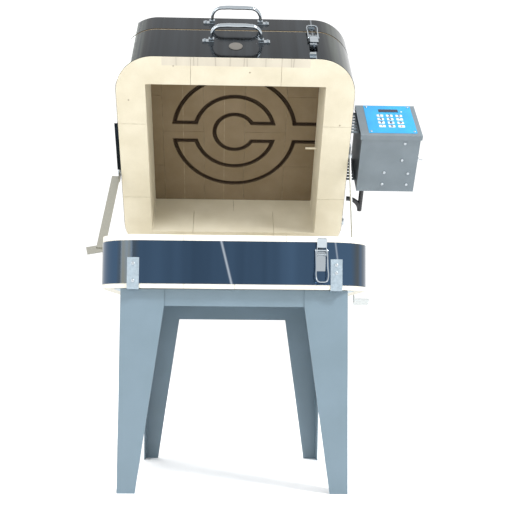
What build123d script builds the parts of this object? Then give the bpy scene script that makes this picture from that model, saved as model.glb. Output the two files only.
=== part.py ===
from build123d import *
import os
from math import cos, radians, sin, sqrt

# Clamshell glass kiln on a sheet steel stand, in millimetres.
# Front is -Y, up is +Z, the floor is Z = 0 and X = 0 is the middle of the kiln.
# The ring and the lid are drawn closed and then turned up by OPEN_ANGLE about the rear hinge.

# Plan of the kiln body
HALF = 307.5
CORNER = 100.0
SKIN = 1.0
BRICK_GAP = 0.6
BRICK_CLEAR = 0.2
WALL = 76.5
CHAMBER = HALF - WALL
CHAMBER_CORNER = 3.0
LONG_BRICK = 229.0
HALF_BRICK = 114.5

# Heights
STAND_TOP = 453.0
PAN = 1.0
FLOOR_TOP = 529.4
BASE_TOP = 574.0
SHUT_GAP = 0.4
BASE_SKIN_LOW = 464.0
BASE_SKIN_HIGH = 560.5
RING_LOW = BASE_TOP + SHUT_GAP
RING_HEIGHT = 164.1
RING_HIGH = RING_LOW + RING_HEIGHT
LOWER_COURSE = 105.6
SKIN_BACK = 3.0
LID_LOW = RING_HIGH + SHUT_GAP
LID_HEIGHT = 75.3
LID_HIGH = LID_LOW + LID_HEIGHT

# Rear hinges
OPEN_ANGLE = 48.0
HINGE_Y = HALF + 10.5
RING_AXIS_Z = BASE_TOP + SHUT_GAP / 2
LID_AXIS_Z = RING_HIGH + SHUT_GAP / 2
PIN_R = 3.0
RUNNING = 0.05
BARREL_R = 7.0
KNUCKLE = 20.0
KNUCKLE_GAP = 0.2
LEAF = 2.5
RING_HINGE_X = 190.0
LID_HINGE_X = 110.0

# Stand
STAND_FRONT_HALF = 256.0
STAND_REAR_HALF = 240.0
STAND_DEPTH_HALF = 287.0
SHEET = 2.5
LEG_TOP = 98.0
LEG_FOOT = 40.0
REAR_LEG_TOP = 89.0
REAR_LEG_FOOT = 35.0
SIDE_LEG_TOP = 100.0
SIDE_LEG_FOOT = 40.0
APRON_FRONT = 38.0
APRON_REAR = 63.0

# Heating element in the lid
GROOVE_W = 12.0
GROOVE_D = 14.0
RINGS = (56.7, 112.3, 171.6)
LINK_Y = 29.0
COIL_R = 4.0
COIL_UP = 6.5
LEAD_X = 262.0

# Control box on the right of the ring
BOX_LEFT = 338.0
BOX_RIGHT = 496.0
BOX_FRONT = -88.0
BOX_REAR = 87.0
BOX_LOW = 578.0
BOX_HIGH = 736.0
BOX_SHEET = 1.5
PANEL_FACE = -91.5
LIP = 12.0
PANEL_CLEAR = 2.0

# Prop arms
ARM_W = 22.0
ARM_T = 3.0
ARM_START = HALF + 2.7
STUD_R = 3.0
RIGHT_PIVOT = (-18.0, 590.0)
LEFT_PIVOT = (45.0, 590.0)

FRONT = -HALF
HINGE = Axis((0, HINGE_Y, RING_AXIS_Z), (1, 0, 0))
nodes = {}


# Helpers
def slab(half, radius, low, high):
    sketch = Plane.XY.offset(low) * RectangleRounded(2 * half, 2 * half, radius)
    return extrude(sketch, high - low)


def cuboid(x0, x1, y0, y1, z0, z1):
    middle = ((x0 + x1) / 2, (y0 + y1) / 2, (z0 + z1) / 2)
    return Pos(*middle) * Box(abs(x1 - x0), abs(y1 - y0), abs(z1 - z0))


def rod(radius, start, end):
    way = Vector(*end) - Vector(*start)
    place = Plane(origin=start, z_dir=way)
    return extrude(place * Circle(radius), way.length)


def tube(outer, inner, start, end):
    return rod(outer, start, end) - rod(inner, start, end)


def prism_x(points, x0, x1):
    face = Plane.YZ.offset(x0) * make_face(Polyline(*points, close=True))
    return extrude(face, x1 - x0)


def prism_y(points, y0, y1):
    face = Plane(origin=(0, y0, 0), x_dir=(1, 0, 0), z_dir=(0, -1, 0))
    return extrude(face * make_face(Polyline(*points, close=True)), y0 - y1)


def prism_z(points, z0, z1):
    face = Plane.XY.offset(z0) * make_face(Polyline(*points, close=True))
    return extrude(face, z1 - z0)


def mirrored(shape):
    return mirror(shape, about=Plane.YZ)


def opened(shape):
    turned = [s.rotate(HINGE, -OPEN_ANGLE) for s in shape.solids()]
    return turned[0] if len(turned) == 1 else Compound(turned)


def opened_point(y, z):
    turn = radians(OPEN_ANGLE)
    dy = y - HINGE_Y
    dz = z - RING_AXIS_Z
    return HINGE_Y + dy * cos(turn) + dz * sin(turn), RING_AXIS_Z - dy * sin(turn) + dz * cos(turn)


def group(shapes):
    return Compound([s for shape in shapes for s in shape.solids()])


def keep(name, shape):
    nodes[name] = shape


def cells(cuts, outer=320.0):
    edges = [-outer] + list(cuts) + [outer]
    spans = []
    for low, high in zip(edges[:-1], edges[1:]):
        spans.append((low + BRICK_GAP / 2, high - BRICK_GAP / 2))
    return spans


def bricks(shape, columns):
    pieces = []
    box = shape.bounding_box()
    for (x0, x1), cuts in columns:
        for y0, y1 in cells(cuts):
            piece = shape & cuboid(x0, x1, y0, y1, box.min.Z - 1, box.max.Z + 1)
            pieces += [s for s in piece.solids() if s.volume > 1]
    return pieces


def shell_bricks(shape, x_cuts, y_cuts):
    return bricks(shape, [(span, y_cuts) for span in cells(x_cuts)])


# Stand legs, folded from sheet and tapered to the feet
def side_x(y):
    middle = (STAND_FRONT_HALF + STAND_REAR_HALF) / 2
    return middle - y / STAND_DEPTH_HALF * (STAND_FRONT_HALF - STAND_REAR_HALF) / 2


def right_leg(way, top, foot, apron):
    y_out = way * STAND_DEPTH_HALF
    y_in = way * (STAND_DEPTH_HALF - SHEET)
    y_end = way * (STAND_DEPTH_HALF - SIDE_LEG_TOP)
    y_foot = way * (STAND_DEPTH_HALF - SIDE_LEG_FOOT)
    corner = side_x(y_out)
    plan = [
        (corner, y_out),
        (side_x(y_end), y_end),
        (side_x(y_end) - SHEET, y_end),
        (side_x(y_in) - SHEET, y_in),
        (corner - top, y_in),
        (corner - top, y_out),
    ]
    leg = prism_z(plan, 0, STAND_TOP)
    bend = STAND_TOP - apron
    face_taper = [(corner - top - 9, -1), (corner - foot, -1), (corner - foot, 0)]
    face_taper += [(corner - top, bend), (corner - top - 9, bend)]
    side_taper = [(y_end - way * 9, -1), (y_foot, -1), (y_foot, 0), (y_end, bend), (y_end - way * 9, bend)]
    leg -= prism_y(face_taper, y_out + way * 3, y_in - way * 3)
    leg -= prism_x(side_taper, corner - 30, corner + 30)
    return leg


front_leg = right_leg(-1, LEG_TOP, LEG_FOOT, APRON_FRONT)
rear_leg = right_leg(1, REAR_LEG_TOP, REAR_LEG_FOOT, APRON_REAR)
keep("leg_front_right", front_leg)
keep("leg_front_left", mirrored(front_leg))
keep("leg_rear_right", rear_leg)
keep("leg_rear_left", mirrored(rear_leg))

# Aprons lapped behind the leg flanges
FLANGE = 18.0
y_face = STAND_DEPTH_HALF - SHEET
front_reach = side_x(-y_face) - 2 * SHEET - 1.0
rear_reach = side_x(y_face) - 2 * SHEET - 1.0
front_apron = cuboid(-front_reach, front_reach, -y_face, -y_face + SHEET, STAND_TOP - APRON_FRONT, STAND_TOP)
front_apron += cuboid(-front_reach, front_reach, -y_face, -y_face + FLANGE, STAND_TOP - SHEET, STAND_TOP)
rear_apron = cuboid(-rear_reach, rear_reach, y_face - SHEET, y_face, STAND_TOP - APRON_REAR, STAND_TOP)
rear_apron += cuboid(-rear_reach, rear_reach, y_face - FLANGE, y_face, STAND_TOP - SHEET, STAND_TOP)
side_end = STAND_DEPTH_HALF - SHEET - FLANGE - 1.0
side_plan = [
    (side_x(-side_end) - SHEET, -side_end),
    (side_x(side_end) - SHEET, side_end),
    (side_x(side_end) - 2 * SHEET, side_end),
    (side_x(-side_end) - 2 * SHEET, -side_end),
]
shelf_plan = side_plan[:2] + [(side_x(side_end) - SHEET - FLANGE, side_end)]
shelf_plan += [(side_x(-side_end) - SHEET - FLANGE, -side_end)]
side_apron = prism_z(side_plan, STAND_TOP - APRON_FRONT, STAND_TOP)
side_apron += prism_z(shelf_plan, STAND_TOP - SHEET, STAND_TOP)
keep("apron_front", front_apron)
keep("apron_rear", rear_apron)
keep("aprons_side", group([side_apron, mirrored(side_apron)]))

# Two angle bars that carry the floor
BAR_X = 95.0
BAR_H = 25.0
bar_end = y_face - FLANGE - 0.5
bar = cuboid(BAR_X, BAR_X + SHEET, -bar_end, bar_end, STAND_TOP - BAR_H, STAND_TOP)
bar += cuboid(BAR_X, BAR_X + BAR_H, -bar_end, bar_end, STAND_TOP - SHEET, STAND_TOP)
keep("floor_bars", group([bar, mirrored(bar)]))

# Base of the kiln
BASE_LOW = STAND_TOP + PAN
keep("floor_pan", slab(276, 40, STAND_TOP, BASE_LOW))
base_skin = slab(HALF, CORNER, BASE_SKIN_LOW, BASE_SKIN_HIGH)
base_skin -= slab(HALF - SKIN, CORNER - SKIN, BASE_SKIN_LOW - 1, BASE_SKIN_HIGH + 1)
keep("base_jacket", base_skin)
brick_half = HALF - SKIN - BRICK_CLEAR
brick_corner = CORNER - SKIN - BRICK_CLEAR
floor = slab(brick_half, brick_corner, BASE_LOW, FLOOR_TOP)
floor_columns = []
for number, span in enumerate(cells((-229, -114.5, 0, 114.5, 229))):
    floor_columns.append((span, (-114.5, 114.5) if number % 2 else (-229, 0, 229)))
keep("floor_bricks", group(bricks(floor, floor_columns)))


def wall_shape(low, high):
    outer = slab(brick_half, brick_corner, low, high)
    return outer - slab(CHAMBER, CHAMBER_CORNER, low - 1, high + 1)


base_rim = wall_shape(FLOOR_TOP, BASE_TOP)
keep("base_rim_bricks", group(shell_bricks(base_rim, (-115, 115), (-115, 115))))

# Straps that hold the base down on the stand
STRAP_T = 1.7
straps = {"left": (-240.0, -213.4, (508.5, 470.0)), "right": (214.5, 241.0, (509.0, 491.0))}
screws = []
strap_pair = []
for x0, x1, heights in straps.values():
    strap = cuboid(x0, x1, FRONT - STRAP_T, FRONT, BASE_SKIN_LOW - 11, 522)
    lip_low = STAND_TOP - 2
    strap += cuboid(x0, x1, FRONT - STRAP_T, -STAND_DEPTH_HALF, lip_low, STAND_TOP - 0.2)
    strap += cuboid(x0, x1, FRONT - STRAP_T, FRONT, lip_low, BASE_SKIN_LOW)
    for z in heights:
        middle = (x0 + x1) / 2
        screws.append(rod(4.2, (middle, FRONT - STRAP_T, z), (middle, FRONT - STRAP_T - 2.2, z)))
    strap_pair.append(strap)
keep("base_straps", group(strap_pair))
keep("strap_screws", group(screws))

# Ring of the kiln
ring_skin = slab(HALF, CORNER, RING_LOW + SKIN_BACK, RING_HIGH - SKIN_BACK)
ring_skin -= slab(HALF - SKIN, CORNER - SKIN, RING_LOW, RING_HIGH)
course = RING_LOW + LOWER_COURSE
lower = wall_shape(RING_LOW, course)
upper = wall_shape(course, RING_HIGH)
PROBE = (20.0, 690.0)
probe_hole = rod(3.3, (CHAMBER - 5, *PROBE), (HALF, *PROBE))
upper -= probe_hole
ring_skin -= probe_hole
COND_Z = 620.0
COND_R = 7.0
COND_Y = 222.0
COND_X = 360.0
fitting_core = rod(11, (HALF - 12, COND_Y, COND_Z), (HALF + 14, COND_Y, COND_Z))
keep("ring_lower_bricks", opened(group(shell_bricks(lower, (-115, 115), (-115, 115)))))
keep("ring_upper_bricks", opened(group(shell_bricks(upper, (0,), (0,)))))
keep("ring_jacket", opened(ring_skin))

# Lid of the kiln
lid_skin = slab(HALF, CORNER, LID_LOW + SKIN_BACK, LID_HIGH)
lid_skin -= slab(HALF - SKIN, CORNER - SKIN, LID_LOW, LID_HIGH - SKIN)
lid_block = slab(brick_half, brick_corner, LID_LOW, LID_HIGH - SKIN - BRICK_CLEAR)


def ring_band(radius, width, low, high):
    disc = extrude(Plane.XY.offset(low) * Circle(radius + width / 2), high - low)
    return disc - extrude(Plane.XY.offset(low - 1) * Circle(radius - width / 2), high - low + 2)


def reach(radius):
    return sqrt(radius**2 - LINK_Y**2)


def groove(width, low, high):
    half = width / 2
    inner, middle, outer = RINGS
    gap_right = cuboid(0, 400, -LINK_Y + half, LINK_Y - half, low - 1, high + 1)
    gap_both = cuboid(-400, 400, -LINK_Y + half, LINK_Y - half, low - 1, high + 1)
    total = ring_band(inner, width, low, high) - gap_right
    total += ring_band(middle, width, low, high) - gap_both
    total += ring_band(outer, width, low, high) - gap_both
    runs = [(reach(inner), reach(middle)), (-reach(outer), -reach(middle)), (reach(outer), LEAD_X)]
    for x0, x1 in runs:
        for y in (-LINK_Y, LINK_Y):
            total += cuboid(x0, x1, y - half, y + half, low, high)
    return total


lid_block -= groove(GROOVE_W, LID_LOW - 1, LID_LOW + GROOVE_D)
coil_z = LID_LOW + COIL_UP
for y in (-LINK_Y, LINK_Y):
    lid_block -= rod(4.5, (LEAD_X - 8, y, LID_LOW), (LEAD_X - 8, y, LID_HIGH + 2))
    lid_skin -= rod(4.5, (LEAD_X - 8, y, LID_LOW), (LEAD_X - 8, y, LID_HIGH + 2))
seams = {0: (-113, 113), 1: (0,), 2: (), 3: (0,), 4: (-113, 113), 5: ()}
lid_columns = []
for number, span in enumerate(cells((-202, -86.5, 29, 144.5, 260))):
    lid_columns.append((span, seams[number]))
keep("lid_bricks", opened(group(bricks(lid_block, lid_columns))))
keep("lid_jacket", opened(lid_skin))

# Element coil, drawn as its envelope, with tails up through the lid
coil = groove(2 * COIL_R, coil_z - COIL_R, coil_z + COIL_R)
coil -= cuboid(LEAD_X - 2, LEAD_X + 20, -60, 60, coil_z - 20, coil_z + 20)
for y in (-LINK_Y, LINK_Y):
    coil += rod(2.2, (LEAD_X - 8, y, coil_z), (LEAD_X - 8, y, LID_HIGH + 12))
keep("element_coil", opened(coil))

# Cover over the element tails on top of the lid
cover = cuboid(LEAD_X - 46, LEAD_X + 20, -52, 52, LID_HIGH, LID_HIGH + 26)
cover -= cuboid(LEAD_X - 44.5, LEAD_X + 18.5, -50.5, 50.5, LID_HIGH - 1, LID_HIGH + 24.5)
keep("terminal_cover", opened(cover))
block = cuboid(LEAD_X - 20, LEAD_X + 4, -45, 45, LID_HIGH + 12, LID_HIGH + 22)
legs = cuboid(LEAD_X - 18, LEAD_X - 14, -8, 8, LID_HIGH, LID_HIGH + 12)
keep("tail_terminals", opened(block + legs))


# Rear hinges, each with two fixed knuckles, one turning knuckle and a pin
def hinge_leaf(axis_z, x, way, knuckles, bore, length):
    out = HALF + 0.05
    tip = axis_z + way * length
    near = axis_z + way * 9.0
    total = cuboid(x - 30, x + 30, out, out + LEAF, tip, near)
    for x0, x1 in knuckles:
        web = [(out, near), (out + LEAF, near + way * 4), (HINGE_Y + 4.5, axis_z + way * 4.5)]
        web += [(HINGE_Y - 4.5, axis_z + way * 2)]
        total += prism_x(web, x + x0, x + x1)
        total += rod(BARREL_R, (x + x0, HINGE_Y, axis_z), (x + x1, HINGE_Y, axis_z))
    return total - rod(bore, (x - 40, HINGE_Y, axis_z), (x + 40, HINGE_Y, axis_z))


half_k = KNUCKLE / 2
outside = ((-30, -half_k - KNUCKLE_GAP), (half_k + KNUCKLE_GAP, 30))
inside = ((-half_k, half_k),)
base_leaves = []
ring_leaves = []
lid_leaves = []
ring_pins = []
lid_pins = []
for x in (-RING_HINGE_X, RING_HINGE_X):
    base_leaves.append(hinge_leaf(RING_AXIS_Z, x, -1, outside, PIN_R, 52))
    ring_leaves.append(hinge_leaf(RING_AXIS_Z, x, 1, inside, PIN_R + RUNNING, 52))
    ring_pins.append(rod(PIN_R, (x - 32, HINGE_Y, RING_AXIS_Z), (x + 32, HINGE_Y, RING_AXIS_Z)))
for x in (-LID_HINGE_X, LID_HINGE_X):
    ring_leaves.append(hinge_leaf(LID_AXIS_Z, x, -1, outside, PIN_R, 46))
    lid_leaves.append(hinge_leaf(LID_AXIS_Z, x, 1, inside, PIN_R + RUNNING, 46))
    lid_pins.append(rod(PIN_R, (x - 32, HINGE_Y, LID_AXIS_Z), (x + 32, HINGE_Y, LID_AXIS_Z)))
keep("hinge_leaves_base", group(base_leaves))
keep("hinge_leaves_ring", opened(group(ring_leaves)))
keep("hinge_leaves_lid", opened(group(lid_leaves)))
keep("hinge_pins_ring", group(ring_pins))
keep("hinge_pins_lid", opened(group(lid_pins)))


# Chrome pull handles on two bolted blocks
GRIP_R = 5.0
GRIP_HALF = 64.0
GRIP_OUT = 46.0


def handle(z):
    path = FilletPolyline(
        (-GRIP_HALF, FRONT - 9, z),
        (-GRIP_HALF, FRONT - GRIP_OUT, z),
        (GRIP_HALF, FRONT - GRIP_OUT, z),
        (GRIP_HALF, FRONT - 9, z),
        radius=22,
    )
    start = Plane(origin=(-GRIP_HALF, FRONT - 9, z), z_dir=(0, -1, 0))
    return sweep(start * Circle(GRIP_R), path)


def handle_feet(z):
    feet = []
    for side in (-1, 1):
        x = side * (GRIP_HALF + 8)
        foot = cuboid(x - 15, x + 15, FRONT - 3, FRONT, z - 8, z + 8)
        foot += cuboid(side * GRIP_HALF - 7, side * GRIP_HALF + 7, FRONT - 9, FRONT, z - 7, z + 7)
        feet.append(foot)
    for side in (-1, 1):
        for dz in (-4, 4):
            x = side * (GRIP_HALF + 17)
            feet.append(rod(2.6, (x, FRONT - 3, z + dz), (x, FRONT - 5, z + dz)))
    return group(feet)


RING_HANDLE_Z = 668.0
LID_HANDLE_Z = 781.0
keep("ring_handle", opened(handle(RING_HANDLE_Z)))
keep("ring_handle_feet", opened(handle_feet(RING_HANDLE_Z)))
keep("lid_handle", opened(handle(LID_HANDLE_Z)))
keep("lid_handle_feet", opened(handle_feet(LID_HANDLE_Z)))
oval = Plane(origin=(-1.2, FRONT, 640.5), x_dir=(1, 0, 0), z_dir=(0, -1, 0)) * Ellipse(17.5, 21)
keep("blank_plate", opened(extrude(oval, 1.2)))


# Toggle latches: plate, lever, loop and catch
LATCH_PIN = 2.0
LEVER_OUT = 8.0
LOOP_DROP = 9.0
LEVER_TURN = 150.0
LOOP_TURN = 315.0
LATCH_Y = FRONT - LEVER_OUT


def latch_plate(x, z, low):
    plate = cuboid(x - 10, x + 10, FRONT - 1.5, FRONT, low, z + 9)
    for side in (-1, 1):
        plate += cuboid(x + side * 8, x + side * 6.5, LATCH_Y - 3, FRONT, z - 5, z + 5)
    for dz in (-14, -30):
        plate += rod(2.2, (x, FRONT - 1.5, z + dz), (x, FRONT - 2.6, z + dz))
    return plate + rod(LATCH_PIN, (x - 11, LATCH_Y, z), (x + 11, LATCH_Y, z))


def latch_lever(x, z, length):
    y = LATCH_Y
    lever = cuboid(x - 11, x + 11, y - 5, y - 3.5, z - length, z - 12)
    for side in (-1, 1):
        lever += cuboid(x + side * 11, x + side * 9.3, y - 5, y + 3, z - LOOP_DROP - 7, z + 4)
    lever += rod(LATCH_PIN, (x - 15, y, z - LOOP_DROP), (x + 15, y, z - LOOP_DROP))
    return lever - rod(LATCH_PIN + RUNNING, (x - 20, y, z), (x + 20, y, z))


def latch_loop(x, z, bow_z):
    y = LATCH_Y
    low = z - LOOP_DROP
    bow = cuboid(x - 14.5, x + 14.5, y - 1.6, y + 1.6, bow_z - 1.6, bow_z + 1.6)
    for side in (-1, 1):
        bow += cuboid(x + side * 14.5, x + side * 11.3, y - 1.6, y + 1.6, low, bow_z)
        bow += rod(3.4, (x + side * 14.5, y, low), (x + side * 11.3, y, low))
    return bow - rod(LATCH_PIN + RUNNING, (x - 20, y, low), (x + 20, y, low))


def latch_catch(x, low, bow_z):
    top = bow_z - 1.6 - 0.5
    catch = cuboid(x - 8, x + 8, FRONT - 1.5, FRONT, low, top + 9)
    hook = [(FRONT, top - 3), (FRONT, top), (FRONT - 10, top - 1.5), (FRONT - 10, top - 5), (FRONT - 7, top - 5)]
    return catch + prism_x(hook, x - 8, x + 8)


LATCH_X = 200.0
LID_LATCH_Z = 692.0
LID_LEVER = 46.0
LID_BOW = 760.0
BASE_LATCH_X = 193.0
BASE_LATCH_Z = 533.0
BASE_LEVER = 38.0
BASE_BOW = 598.0
keep("lid_latch_plate", opened(latch_plate(LATCH_X, LID_LATCH_Z, 652)))
keep("lid_latch_lever", opened(latch_lever(LATCH_X, LID_LATCH_Z, LID_LEVER)))
keep("lid_latch_loop", opened(latch_loop(LATCH_X, LID_LATCH_Z, LID_BOW)))
keep("lid_latch_catch", opened(latch_catch(LATCH_X, LID_LOW + 6, LID_BOW)))

# The base latch is drawn shut and then thrown open, lever up and loop hanging
pivot = Axis((0, LATCH_Y, BASE_LATCH_Z), (1, 0, 0))
loop_pin = Axis((0, LATCH_Y, BASE_LATCH_Z - LOOP_DROP), (1, 0, 0))
base_lever = latch_lever(BASE_LATCH_X, BASE_LATCH_Z, BASE_LEVER)
base_loop = latch_loop(BASE_LATCH_X, BASE_LATCH_Z, BASE_BOW)
keep("base_latch_plate", latch_plate(BASE_LATCH_X, BASE_LATCH_Z, 495))
keep("base_latch_lever", base_lever.rotate(pivot, -LEVER_TURN))
keep("base_latch_loop", base_loop.rotate(loop_pin, LOOP_TURN).rotate(pivot, -LEVER_TURN))
keep("base_latch_catch", opened(latch_catch(BASE_LATCH_X, RING_LOW + 6, BASE_BOW)))

# Prop arm on the right, a flat bar seen edge on with a finger tab
right_y, right_z = opened_point(*RIGHT_PIVOT)
end_y, end_z = 9.0, 437.0
way = Vector(0, end_y - right_y, end_z - right_z)
length = way.length
frame = Plane(origin=(ARM_START, right_y, right_z), x_dir=(1, 0, 0), z_dir=way)
arm = frame * (Pos(ARM_T / 2, 0, length / 2) * Box(ARM_T, ARM_W, length))
arm += rod(ARM_W / 2, (ARM_START, right_y, right_z), (ARM_START + ARM_T, right_y, right_z))
arm += Pos(ARM_START + 19, end_y, end_z) * Rot(-40, 0, 0) * Box(38, ARM_W, ARM_T)
arm -= rod(STUD_R + RUNNING, (ARM_START - 5, right_y, right_z), (ARM_START + 9, right_y, right_z))
keep("prop_arm_right", arm)


def arm_stud(side, y, z):
    start = side * HALF
    stud = rod(8, (start, y, z), (side * (ARM_START - 0.2), y, z))
    stud += rod(STUD_R, (start, y, z), (side * (ARM_START + ARM_T + 0.2), y, z))
    head = side * (ARM_START + ARM_T + 0.2)
    return stud + rod(6.5, (head, y, z), (head + side * 3.5, y, z))


keep("arm_studs", opened(group([arm_stud(1, *RIGHT_PIVOT), arm_stud(-1, *LEFT_PIVOT)])))

# Prop arm on the left, with its wide face turned to the front
left_y, left_z = opened_point(*LEFT_PIVOT)
tip = (-338.0, -20.0, 566.0)
ear_way = Vector(0, tip[1] - left_y, tip[2] - left_z)
ear = Plane(origin=(-ARM_START, left_y, left_z), x_dir=(1, 0, 0), z_dir=ear_way)
left_arm = ear * (Pos(-ARM_T / 2, 0, 14) * Box(ARM_T, ARM_W, 28))
left_arm += rod(ARM_W / 2, (-ARM_START, left_y, left_z), (-ARM_START - ARM_T, left_y, left_z))
top = Vector(-ARM_START - ARM_W / 2, left_y, left_z) + ear_way.normalized() * 16
blade_way = Vector(*tip) - top
blade = Plane(origin=top, x_dir=(1, 0, 0), z_dir=blade_way)
left_arm += blade * (Pos(0, 0, blade_way.length / 2) * Box(ARM_W, ARM_T, blade_way.length))
left_arm += Pos(-350, tip[1], tip[2] - 4) * Rot(-38, 0, 0) * Rot(0, -14, 0) * Box(46, ARM_T, 24)
ear_start = (-ARM_START + 5, left_y, left_z)
ear_end = (-ARM_START - 9, left_y, left_z)
left_arm -= rod(STUD_R + RUNNING, ear_start, ear_end)
left_arm -= rod(7.2, (-ARM_START - ARM_T, left_y, left_z), (-ARM_START - 30, left_y, left_z))
keep("prop_arm_left", left_arm)
strip = cuboid(-HALF - 9, -HALF, -113, 30, 579, 581)
strip += cuboid(-HALF - 1.5, -HALF, -113, 30, 579, 598)
keep("arm_rail_left", opened(strip))

# Control box shell, open at the front, and the panel that closes it
shell = cuboid(BOX_LEFT, BOX_RIGHT, BOX_FRONT, BOX_REAR, BOX_LOW, BOX_HIGH)
s = BOX_SHEET
shell -= cuboid(BOX_LEFT + s, BOX_RIGHT - s, BOX_FRONT - 1, BOX_REAR - s, BOX_LOW + s, BOX_HIGH - s)
SWITCH = (-4.0, 600.0)
shell -= rod(6.0, (BOX_RIGHT - 5, *SWITCH), (BOX_RIGHT + 5, *SWITCH))
shell -= rod(COND_R, (COND_X, BOX_REAR - 5, COND_Z), (COND_X, BOX_REAR + 5, COND_Z))
c = PANEL_CLEAR
back = PANEL_FACE + s
panel = cuboid(BOX_LEFT - c - s, BOX_RIGHT + c + s, PANEL_FACE, back + LIP, BOX_LOW - c - s, BOX_HIGH + c + s)
panel -= cuboid(BOX_LEFT - c, BOX_RIGHT + c, back, back + LIP + 1, BOX_LOW - c, BOX_HIGH + c)
keep("box_shell", opened(shell))
keep("box_panel", opened(panel))
overlay_face = PANEL_FACE - 0.7
overlay = cuboid(357, 487, overlay_face, PANEL_FACE, 588, 737)
keep("keypad_overlay", opened(overlay))
keep("display_window", opened(cuboid(396, 450, overlay_face - 0.6, overlay_face, 701, 716)))
keys = []
for column in range(3):
    for row in range(4):
        kx = 397 + 26 * column
        kz = 681 - 19 * row
        keys.append(cuboid(kx - 9, kx + 9, overlay_face - 0.6, overlay_face, kz - 6, kz + 6))
keep("keypad_keys", opened(group(keys)))
corner_screws = []
for x in (364, 480):
    for z in (596, 729):
        corner_screws.append(rod(3.2, (x, overlay_face, z), (x, overlay_face - 1.8, z)))
under = [(455, -66), (453, -14), (409, 26), (474, 28), (407, 63), (474, 64)]
under_screws = [rod(4, (x, y, BOX_LOW), (x, y, BOX_LOW - 2.4)) for x, y in under]
keep("box_screws", opened(group(corner_screws + under_screws)))
brackets = []
for y in (-78, 72):
    slots = cuboid(HALF, BOX_LEFT, y, y + 2, 612, 722)
    for z in range(620, 716, 16):
        slots -= cuboid(HALF + 7, BOX_LEFT - 6, y - 1, y + 3, z, z + 7)
    brackets.append(slots)
keep("box_brackets", opened(group(brackets)))

# What sits inside the box
board = cuboid(362, 482, back + 10, back + 11.6, 596, 730)
for x in (370, 474):
    for z in (606, 720):
        board += rod(3, (x, back, z), (x, back + 10, z))
keep("controller_board", opened(board))
relay = cuboid(352, 402, 30, BOX_REAR - s, 660, 710)
terminals = cuboid(412, 482, 62, BOX_REAR - s, 640, 664)
keep("relay_and_terminals", opened(group([relay, terminals])))

# Power switch on the right of the box
sy, sz = SWITCH
body = cuboid(BOX_RIGHT - s - 22, BOX_RIGHT - s, sy - 7, sy + 7, sz - 13, sz + 13)
body += tube(6.0, 4.6, (BOX_RIGHT - s - 1, sy, sz), (BOX_RIGHT + 7, sy, sz))
body -= rod(4.6, (BOX_RIGHT - 8, sy, sz), (BOX_RIGHT + 8, sy, sz))
SWITCH_PIVOT_X = BOX_RIGHT + 1
SWITCH_TILT = 12.0
bat = rod(3.2, (SWITCH_PIVOT_X, sy - 3.2, sz), (SWITCH_PIVOT_X, sy + 3.2, sz))
bat += Pos(SWITCH_PIVOT_X, sy, sz) * Rot(0, 90, 0) * extrude(Circle(1.9), 17, taper=-2)
bat = bat.rotate(Axis((SWITCH_PIVOT_X, sy, sz), (0, 1, 0)), SWITCH_TILT)
keep("switch_body", opened(body))
keep("switch_bat", opened(bat))

# Thermocouple through the right wall
probe = rod(3.0, (200, *PROBE), (HALF + 8, *PROBE))
keep("thermocouple", opened(probe))
holder = cuboid(HALF, HALF + 20, PROBE[0] - 12, PROBE[0] + 12, PROBE[1] - 9, PROBE[1] + 9)
holder -= rod(3.0, (HALF - 5, *PROBE), (HALF + 8, *PROBE))
keep("thermocouple_block", opened(holder))

# Black conduit from the back of the box to the ring, with its fittings
bend = 62.0
run = FilletPolyline(
    (COND_X, BOX_REAR + 16, COND_Z),
    (COND_X, COND_Y, COND_Z),
    (HALF + 10, COND_Y, COND_Z),
    radius=COND_X - HALF - 12,
)
start = Plane(origin=(COND_X, BOX_REAR + 16, COND_Z), z_dir=(0, 1, 0))
keep("conduit", opened(sweep(start * Circle(COND_R), run)))
box_nut = rod(11, (COND_X, BOX_REAR, COND_Z), (COND_X, BOX_REAR + 16, COND_Z))
box_nut += rod(COND_R, (COND_X, BOX_REAR - 12, COND_Z), (COND_X, BOX_REAR, COND_Z))
ring_nut = rod(11, (HALF - 30, COND_Y, COND_Z), (HALF + 10, COND_Y, COND_Z))
ring_nut -= slab(HALF, CORNER, RING_LOW, RING_HIGH)
keep("conduit_nuts", opened(group([box_nut, ring_nut])))

# The origin is moved to the bottom centre of the whole object's box
boxes = [shape.bounding_box() for shape in nodes.values()]
shift_x = -(min(b.min.X for b in boxes) + max(b.max.X for b in boxes)) / 2
shift_y = -(min(b.min.Y for b in boxes) + max(b.max.Y for b in boxes)) / 2
shift = Location((shift_x, shift_y, 0))


def placed(shape):
    moved = [s.moved(shift) for s in shape.solids()]
    return moved[0] if len(moved) == 1 else Compound(moved)


os.makedirs("parts", exist_ok=True)
for name, shape in nodes.items():
    export_step(placed(shape), "parts/" + name + ".step")
print(len(nodes), "parts, moved by", round(shift_x, 4), round(shift_y, 4))
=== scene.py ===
import math
import bpy
from mathutils import Matrix, Vector


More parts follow.
